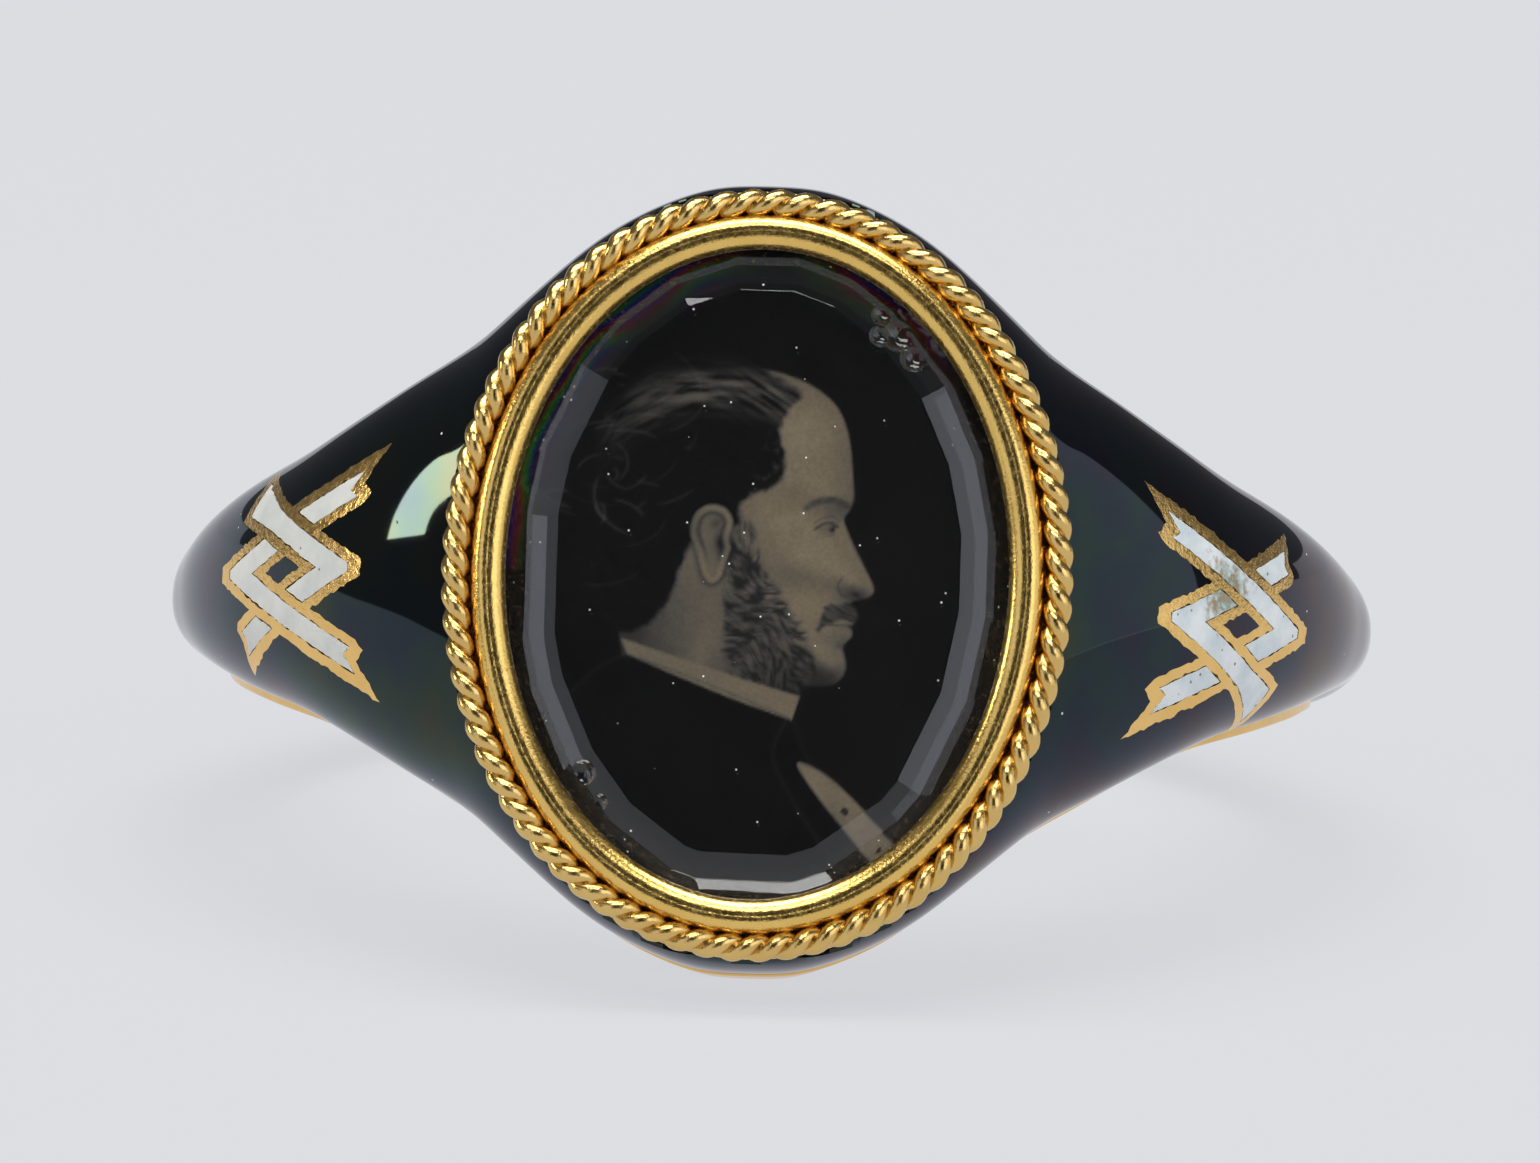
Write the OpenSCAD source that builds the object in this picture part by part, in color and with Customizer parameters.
// Mourning ring with an oval bezel, lying on its side. Millimetres, +Z up.
// Each piece is drawn in the ring's own frame: finger axis along Z, bezel towards -Y.
// at_rest() then tips the ring onto the bezel's lower tip and the back of the hoop.

/* [Finger hole] */
// Diameter of the finger hole
finger_d = 17.8; // [16:0.1:20]

/* [Hoop] */
// Thickness of the hoop at its back, gold and enamel together
back_t = 1.55; // [1.3:0.05:2]
// Height of the hoop at its back, measured along the finger
back_h = 2.6; // [2.2:0.1:4]
// Height of the bezel's flat seat above the finger hole
seat_t = 2.3; // [2.1:0.05:3]
// Height of the bare gold rim above the finger hole, round the back
rim_t = 0.75; // [0.5:0.05:0.9]
// Height of the bare gold rim above the finger hole, at the bezel
front_rim_t = 0.95; // [0.6:0.05:1.2]
// Width of the gold edge that shows beside the enamel
rim_w = 0.1; // [0.06:0.01:0.2]
// Depth of the enamel
enamel_t = 0.35; // [0.25:0.01:0.45]
// Enamel showing between the bezel and the upper and lower edge of the hoop
end_margin = 0.17; // [0.1:0.01:0.5]
// Flat enamel showing on each side of the bezel before the shoulder falls away
side_margin = 0.2; // [0.1:0.01:0.5]

/* [Bezel] */
// Width of the oval opening over the crystal
opening_w = 8.66; // [8:0.02:9]
// Height of the oval opening over the crystal
opening_h = 11.2; // [10:0.1:12]
// Width of the smooth collar round the opening
collar_w = 0.6; // [0.5:0.01:0.8]
// Height of the collar above the enamel
collar_t = 0.63; // [0.5:0.01:0.8]
// How deep the bezel is let into the hoop
bezel_drop = 0.6; // [0.5:0.01:0.75]
// Lip of the collar over the crystal's edge
lip_w = 0.18; // [0.16:0.01:0.25]
// Diameter of the twisted wire round the collar
rope_d = 0.52; // [0.4:0.01:0.7]
// Full turns of the twisted wire, two strands to a turn
rope_turns = 39; // [30:1:44]

/* [Crystal] */
// Straight sides of the crystal, long and short in turn
crystal_sides = 24; // [16:4:28]
// How far the short sides stand out, which makes them shorter
corner_out = 0.055; // [0:0.005:0.07]
// Width of the steep row of facets at the edge
girdle_w = 0.25; // [0.2:0.01:0.3]
// Rise of the steep row of facets
girdle_rise = 0.22; // [0.12:0.01:0.25]
// Width of the flatter row of facets round the table
crown_w = 0.52; // [0.4:0.01:0.6]
// Rise of the flatter row of facets
crown_rise = 0.18; // [0.1:0.01:0.2]

/* [Photograph] */
// Thickness of the plate that carries the portrait
plate_t = 0.2; // [0.1:0.01:0.25]

/* [Ribbon motif] */
// Angle of each motif's middle from the bezel's middle, round the finger
motif_angle = 47; // [45:0.5:52]
// Half the width of a motif, along the hoop
motif_u = 2.25; // [1.8:0.05:2.4]
// Half the height of a motif, along the finger
motif_v = 1.55; // [1.3:0.05:1.6]
// Width of the white ribbon
ribbon_w = 0.44; // [0.36:0.01:0.48]
// Width of the gold outline beside the ribbon
outline_w = 0.18; // [0.12:0.01:0.2]
// How much lower the right motif sits than the left one, along the finger
right_drop = 0.35; // [0:0.05:0.5]

/* [Fit] */
// Gap between neighbouring pieces
gap = 0.02; // [0.01:0.005:0.03]

/* [Hidden] */
$fn = 96;

// Sections of the hoop from the middle of the bezel to the middle of the back.
// place: 0 bezel's middle, 1 its side edge, 2 side of the hoop, 3 middle of the back
// width: share of the way from the back's half height to the bezel's
// rise:  share of the way from the back's outer radius to the seat's edge
// full:  exponent of the section's curve, 2 an ellipse and more a fuller one
// The first two rows are as wide as each other: the tips that the ring lies on are worn flat
PLACE = 0;
WIDTH = 1;
RISE = 2;
FULL = 3;
SECTIONS = [
    // place, width, rise, full
    [0.00, 1.000, 1.000, 9.0],
    [0.14, 1.000, 1.000, 8.8],
    [0.30, 0.965, 1.000, 8.0],
    [0.55, 0.865, 1.000, 6.5],
    [0.80, 0.700, 1.000, 5.0],
    [1.00, 0.570, 1.000, 4.0],
    [1.01, 0.559, 0.984, 3.9],
    [1.05, 0.510, 0.923, 3.7],
    [1.13, 0.430, 0.813, 3.3],
    [1.21, 0.350, 0.713, 3.0],
    [1.37, 0.220, 0.535, 2.7],
    [1.53, 0.150, 0.380, 2.5],
    [1.76, 0.065, 0.203, 2.2],
    [2.00, 0.000, 0.120, 2.1],
    [2.40, 0.000, 0.040, 2.0],
    [3.00, 0.000, 0.000, 2.0]
];
// Steps along each third of the way round, and round the section
front_steps = 8;
shoulder_steps = 12;
back_steps = 8;
dome_steps = 12;
inner_steps = 8;

// Collar's top from the opening outwards: shares of its width and of its height
COLLAR = [
    // out, up
    [0.00, 0.76],
    [0.26, 0.97],
    [0.55, 0.82],
    [0.77, 1.00]
];
// Underside of the collar's lip, as a share of the collar's height
lip_up = 0.45;
// Directions from the wire's centre at which its surface is drawn
ROPE_DIRECTIONS = [140, 105, 70, 35, 0, -35, -75];
// Rings of the bezel for each strand of the wire, and how much of the wire a strand fills
rings_per_strand = 3;
strand_share = 0.6;
// Overlap of the wire with the collar that it is soldered to
rope_sink = 0.04;
oval_steps = 72;

// Fold lines of the two ribbons, as shares of motif_u (towards the bezel) and motif_v (up)
RIBBON_A = [[-0.44, 0.88], [0.80, 0.04], [-0.55, -0.74]];
RIBBON_B = [[0.99, 0.97], [-0.58, 0.04], [0.94, -1.00]];
// A fold is cut off at this many half widths from its corner
fold_cut = 1.7;
// The flared end: its half width over the ribbon's, and its length in ribbon widths
flare = 1.5;
flare_l = 2.2;
// Forked tails in half widths: along the ribbon, across it towards the longer point
GOLD_TAIL = [[2.1, 1.05], [0.4, -0.1], [0.7, -0.75], [0.1, -1]];
WHITE_TAIL = [[0.85, 0.9], [-1, -0.15], [-0.3, -1]];
// The short tail's points stand out this share as far
short_tail = 0.45;

// Driving radii and half heights
finger_r = finger_d / 2;
back_r = finger_r + back_t;
seat_y = finger_r + seat_t;
rope_out = collar_w + rope_d / 2 - rope_sink;
rope_up = rope_d / 2 + gap;
bezel_band = rope_out + rope_d / 2;
front_half = opening_h / 2 + bezel_band + end_margin;
back_half = back_h / 2;
edge_x = opening_w / 2 + bezel_band + side_margin;
edge_angle = atan(edge_x / seat_y);
edge_r = norm([edge_x, seat_y]);
// The gold is soldered this deep into what it stands on
solder = 0.1;
// Gold left standing inside the finger hole until the hole is cut
bore_stock = 0.5;

// A smooth curve through one column of SECTIONS, level at both ends
function rate(c, i) = (SECTIONS[i + 1][c] - SECTIONS[i][c])
                    / (SECTIONS[i + 1][PLACE] - SECTIONS[i][PLACE]);
function slope(c, i) =
    i == 0 || i == len(SECTIONS) - 1 || rate(c, i - 1) * rate(c, i) <= 0 ? 0
    : 2 * rate(c, i - 1) * rate(c, i) / (rate(c, i - 1) + rate(c, i));
function row_at(s) = max([for (i = [0 : len(SECTIONS) - 2]) if (SECTIONS[i][PLACE] <= s) i]);
function share(s, c) =
    let (i = row_at(s), a = SECTIONS[i], b = SECTIONS[i + 1])
    let (w = b[PLACE] - a[PLACE], t = (s - a[PLACE]) / w)
    a[c] * (1 + 2 * t) * pow(1 - t, 2) + b[c] * t * t * (3 - 2 * t)
    + w * t * (1 - t) * (slope(c, i) * (1 - t) - slope(c, i + 1) * t);

function angle_at(s) =
    s <= 1 ? s * edge_angle
    : s <= 2 ? edge_angle + (s - 1) * (90 - edge_angle)
    : 90 * (s - 1);
function half_at(s) = back_half + (front_half - back_half) * share(s, WIDTH);
function rim_at(s) = finger_r + rim_t + (front_rim_t - rim_t) * share(s, WIDTH);
function top_at(s) =
    s <= 1 ? seat_y / cos(angle_at(s)) : back_r + (edge_r - back_r) * share(s, RISE);

// A point of the domed section at place s, as radius and height, phi from edge to edge
function curve(x, p) = sign(x) * pow(abs(x), 2 / p);
function dome(s, phi, inset, base) = [
    rim_at(s) + base + (top_at(s) - inset - rim_at(s) - base) * curve(sin(phi), share(s, FULL)),
    (half_at(s) - rim_w - inset) * curve(cos(phi), share(s, FULL))
];

// Places all the way round: out along one side of the hoop and back along the other
half_way = concat(
    [for (i = [0 : front_steps - 1]) i / front_steps],
    [for (i = [0 : shoulder_steps - 1]) 1 + i / shoulder_steps],
    [for (i = [0 : back_steps]) 2 + i / back_steps]
);
stations = concat(
    [for (s = half_way) [s, angle_at(s)]],
    [for (i = [len(half_way) - 2 : -1 : 1]) [half_way[i], -angle_at(half_way[i])]]
);
function round_finger(angle, rz) = [rz[0] * sin(angle), -rz[0] * cos(angle), rz[1]];

// The enamel's section: domed outside, and inside at the depth t
function shell_section(s, t, base) = concat(
    [for (i = [0 : dome_steps]) dome(s, 180 * i / dome_steps, 0, base)],
    [for (i = [inner_steps : -1 : 0]) dome(s, 180 * i / inner_steps, t, base)]
);
// The gold's section under the enamel, with its two bare rims
function core_section(s) = concat(
    [[finger_r - bore_stock, half_at(s)], [rim_at(s), half_at(s)]],
    [for (i = [0 : inner_steps]) dome(s, 180 * i / inner_steps, enamel_t + gap, 0)],
    [[rim_at(s), -half_at(s)], [finger_r - bore_stock, -half_at(s)]]
);

// A closed tube through rings of equally many points
module loft(rings) {
    n = len(rings);
    m = len(rings[0]);
    polyhedron(
        points = [for (ring = rings) each ring],
        faces = [for (i = [0 : n - 1], j = [0 : m - 1])
            let (a = i * m + j, b = i * m + (j + 1) % m)
            let (c = ((i + 1) % n) * m + (j + 1) % m, d = ((i + 1) % n) * m + j)
            each [[a, c, b], [a, d, c]]]
    );
}

module shell(t, base) {
    loft([for (st = stations) [for (p = shell_section(st[0], t, base)) round_finger(st[1], p)]]);
}

// Ovals: the opening's ellipse moved outwards by d
oval_a = opening_w / 2;
oval_b = opening_h / 2;
function oval_out(t) = let (n = [oval_b * cos(t), oval_a * sin(t)]) n / norm(n);
function oval(t, d) = [oval_a * cos(t), oval_b * sin(t)] + d * oval_out(t);
function oval_points(d) = [for (i = [0 : oval_steps - 1]) oval(360 * i / oval_steps, d)];
// An oval plate between two heights above the seat's level
module oval_plate(d, low, high) {
    rotate([90, 0, 0])
        translate([0, 0, seat_y + low])
            linear_extrude(high - low)
                polygon(oval_points(d));
}

// Motif: lines are pairs of points that run towards the bezel
function scaled(p) = [p[0] * motif_u, p[1] * motif_v];
leg_a1 = [scaled(RIBBON_A[0]), scaled(RIBBON_A[1])];
leg_a2 = [scaled(RIBBON_A[2]), scaled(RIBBON_A[1])];
leg_b1 = [scaled(RIBBON_B[1]), scaled(RIBBON_B[0])];
leg_b2 = [scaled(RIBBON_B[1]), scaled(RIBBON_B[2])];
function along(leg) = (leg[1] - leg[0]) / norm(leg[1] - leg[0]);
function across(leg) = [-along(leg)[1], along(leg)[0]];
function beside(leg, d) = [leg[0] + across(leg) * d, leg[1] + across(leg) * d];
function upright(x) = [[x, -1], [x, 1]];
function meet(e, f) =
    e[0] + (e[1] - e[0]) * cross(f[0] - e[0], f[1] - f[0]) / cross(e[1] - e[0], f[1] - f[0]);
function fold_a(d) = upright(leg_a1[1][0] + fold_cut * d);
function fold_b(d) = upright(leg_b1[0][0] - fold_cut * d);
// The points of a tail at a leg's end: out is 1 at its bezel end, long the side of its point
function tail(leg, rows, d, out, long, reach = 1) =
    [for (row = rows)
        leg[out > 0 ? 1 : 0] + along(leg) * out * row[0] * d * reach + across(leg) * long * row[1] * d];
function reversed(list) = [for (i = [len(list) - 1 : -1 : 0]) list[i]];
// Two points on one side of the flared end: its corner, and where the flare ends
function flare_points(side, d, beyond) = [
    leg_a1[0] - along(leg_a1) * beyond
        + across(leg_a1) * side * (flare * ribbon_w / 2 + d - ribbon_w / 2),
    leg_a1[0] + along(leg_a1) * flare_l * ribbon_w + across(leg_a1) * side * d
];

// Gold silhouette of the motif, grown by e
function gold_path(e) = let (g = ribbon_w / 2 + outline_w + e) concat(
    flare_points(1, g, outline_w + e),
    [meet(beside(leg_a1, g), beside(leg_b1, g))],
    tail(leg_b1, GOLD_TAIL, g, 1, 1),
    [meet(beside(leg_b1, -g), beside(leg_a1, g)), meet(beside(leg_a1, g), fold_a(g)),
     meet(fold_a(g), beside(leg_a2, -g)), meet(beside(leg_a2, -g), beside(leg_b2, g))],
    reversed(tail(leg_b2, GOLD_TAIL, g, 1, -1)),
    [meet(beside(leg_b2, -g), beside(leg_a2, -g))],
    tail(leg_a2, GOLD_TAIL, g, -1, -1, short_tail),
    [meet(beside(leg_a2, g), beside(leg_b2, -g)), meet(beside(leg_b2, -g), fold_b(g)),
     meet(fold_b(g), beside(leg_b1, g)),
     meet(beside(leg_b1, g), flare_points(-1, g, outline_w + e)),
     flare_points(-1, g, outline_w + e)[0]]
);
// The black island between the crossing ribbons, shrunk by e
function island_path(e) = let (g = ribbon_w / 2 + outline_w + e) [
    meet(beside(leg_b1, -g), beside(leg_a1, -g)), meet(beside(leg_a1, -g), beside(leg_a2, g)),
    meet(beside(leg_a2, g), beside(leg_b2, g)), meet(beside(leg_b2, g), beside(leg_b1, -g))
];
// The four white cells, shrunk by e
function cell_paths(e) = let (w = ribbon_w / 2 - e, g = ribbon_w / 2 + outline_w + e) [
    concat(
        flare_points(1, w, -e),
        [meet(beside(leg_a1, w), fold_a(w)), meet(fold_a(w), beside(leg_a2, -w)),
         meet(beside(leg_a2, -w), beside(leg_b2, g)), meet(beside(leg_a2, w), beside(leg_b2, g)),
         meet(beside(leg_a2, w), beside(leg_a1, -w))],
        reversed(flare_points(-1, w, -e))
    ),
    concat(
        [meet(beside(leg_b1, w), beside(leg_a1, g))],
        tail(leg_b1, WHITE_TAIL, w, 1, 1),
        [meet(beside(leg_b1, -w), beside(leg_a1, g))]
    ),
    concat(
        [meet(beside(leg_b1, w), beside(leg_a1, -g)), meet(beside(leg_b1, -w), beside(leg_a1, -g)),
         meet(beside(leg_b1, -w), beside(leg_b2, w))],
        reversed(tail(leg_b2, WHITE_TAIL, w, 1, -1)),
        [meet(beside(leg_b2, -w), fold_b(w)), meet(fold_b(w), beside(leg_b1, w))]
    ),
    concat(
        [meet(beside(leg_a2, w), beside(leg_b2, -g)), meet(beside(leg_a2, -w), beside(leg_b2, -g))],
        tail(leg_a2, WHITE_TAIL, w, -1, -1, short_tail)
    )
];

// Cuts straight in towards the finger at the motif's middle, from beyond the shoulder down
// to half the rim's height. side is -1 left or 1 right
module punch(side, paths) {
    starts = [for (i = 0, n = 0; i < len(paths); n = n + len(paths[i]), i = i + 1) n];
    translate([0, 0, side > 0 ? -right_drop : 0])
        rotate([0, side > 0 ? 180 : 0, 0])
            rotate([0, 0, -motif_angle])
                rotate([90, 0, 0])
                    translate([0, 0, finger_r + rim_t / 2])
                        linear_extrude(edge_r - finger_r + rim_t)
                            polygon(
                                [for (path = paths) each path],
                                [for (i = [0 : len(paths) - 1])
                                    [for (j = [0 : len(paths[i]) - 1]) starts[i] + j]]
                            );
}

// Bezel: collar, lip and twisted wire, one soldered ring swept along the oval
function wire_radius(turn) =
    let (c = rope_d / 2 * (1 - strand_share), r = rope_d / 2 * strand_share)
    c * abs(cos(turn)) + sqrt(r * r - pow(c * sin(turn), 2));
function bezel_section(twist) = concat(
    [[lip_w, gap - bezel_drop], [lip_w, lip_up * collar_t], [0, lip_up * collar_t]],
    [for (p = COLLAR) [p[0] * collar_w, p[1] * collar_t]],
    [for (a = ROPE_DIRECTIONS)
        [rope_out, rope_up] + wire_radius(a - twist) * [cos(a), sin(a)]],
    [[rope_out - gap, 0], [rope_out - gap, gap - bezel_drop]]
);
// Distance along the oval against its parameter, so that the strands are evenly spaced
oval_lengths = [
    for (t = 0, l = 0; t <= 360; l = l + norm(oval(t + 1, rope_out) - oval(t, rope_out)), t = t + 1)
        [l, t]
];
oval_length = oval_lengths[360][0];
bezel_steps = 2 * rope_turns * rings_per_strand;
bezel_rings = [for (i = [0 : bezel_steps - 1])
    let (t = lookup(oval_length * i / bezel_steps, oval_lengths))
    [for (p = bezel_section(360 * rope_turns * i / bezel_steps))
        let (xz = oval(t, p[0])) [xz[0], -seat_y - p[1], xz[1]]]
];
// The portrait's plate lies on the seat, and the crystal just above it
plate_low = gap - bezel_drop;

// Crystal: straight sides that touch the opening's oval, each row moved in by a facet
function crystal_side(k, inset) =
    let (t = 360 * k / crystal_sides, n = oval_out(t))
    let (c = oval(t, gap - inset + (k % 2) * corner_out))
    [c, c + [-n[1], n[0]]];
function crystal_ring(inset, up) = [for (k = [0 : crystal_sides - 1])
    let (p = meet(crystal_side(k, inset), crystal_side(k + 1, inset))) [p[0], -seat_y - up, p[1]]];
girdle_up = lip_up * collar_t - girdle_rise * lip_w / girdle_w - gap;
crystal_points = concat(
    crystal_ring(0, plate_low + plate_t + gap),
    crystal_ring(0, girdle_up),
    crystal_ring(girdle_w, girdle_up + girdle_rise),
    crystal_ring(girdle_w + crown_w, girdle_up + girdle_rise + crown_rise)
);
// Rest: the ring touches the surface at the bezel's lower tip and at the hoop's back
rest_tilt = atan((half_at(0) - half_at(3)) / (finger_r + rim_at(3)));
rest_up = half_at(0) * cos(rest_tilt) - finger_r * sin(rest_tilt);
function tipped(p) = [p[0], p[1] * cos(rest_tilt) + p[2] * sin(rest_tilt)];
front_edge = min(concat(
    [for (ring = bezel_rings, p = ring) tipped(p)[1]],
    [for (p = crystal_points) tipped(p)[1]]
));
back_edge = max(
    [for (p = concat(shell_section(3, enamel_t, gap), core_section(3)))
        tipped(round_finger(180, p))[1]]
);
rest_y = -(front_edge + back_edge) / 2;
module at_rest() {
    translate([0, rest_y, rest_up])
        rotate([-rest_tilt, 0, 0])
            children();
}

// Its children as one faceted skin, at their own size
module one_skin() {
    resize([0, 0, 0])
        union()
            children();
}

// Gold hoop: core with bare rims, seat for the bezel, and the standing outlines of the motifs
module hoop() {
    color("goldenrod")
        at_rest()
            difference() {
                one_skin() {
                    difference() {
                        loft([for (st = stations)
                            [for (p = core_section(st[0])) round_finger(st[1], p)]]);
                        oval_plate(rope_out, -bezel_drop, seat_t);
                    }
                    for (side = [-1, 1])
                        intersection() {
                            shell(enamel_t + solder, 0);
                            punch(side, concat([gold_path(0), island_path(0)], cell_paths(0)));
                        }
                }
                cylinder(h = 4 * front_half, r = finger_r, center = true);
            }
}

module black_enamel() {
    color([0.04, 0.04, 0.05])
        at_rest()
            one_skin()
                difference() {
                    shell(enamel_t, gap);
                    oval_plate(rope_out, -seat_t, seat_t);
                    for (side = [-1, 1])
                        punch(side, [gold_path(gap), island_path(gap)]);
                }
}

module ribbon_enamel(side) {
    color("white")
        at_rest()
            one_skin()
                for (path = cell_paths(gap))
                    intersection() {
                        shell(enamel_t, gap);
                        punch(side, [path]);
                    }
}

// Collar and twisted wire, soldered into one piece
module bezel() {
    color("gold")
        at_rest()
            loft(bezel_rings);
}

module photograph() {
    color([0.35, 0.33, 0.3])
        at_rest()
            oval_plate(lip_w - gap, plate_low, plate_low + plate_t);
}

module crystal() {
    n = crystal_sides;
    color([0.8, 0.88, 0.92, 0.4])
        at_rest()
            polyhedron(
                points = crystal_points,
                faces = concat(
                    [[for (k = [0 : n - 1]) k]],
                    [for (row = [0 : 2], k = [0 : n - 1])
                        [row * n + k, (row + 1) * n + k,
                         (row + 1) * n + (k + 1) % n, row * n + (k + 1) % n]],
                    [[for (k = [n - 1 : -1 : 0]) 3 * n + k]]
                )
            );
}

hoop();
black_enamel();
ribbon_enamel(-1);  // ribbon_enamel_left
ribbon_enamel(1);  // ribbon_enamel_right
bezel();
photograph();
crystal();
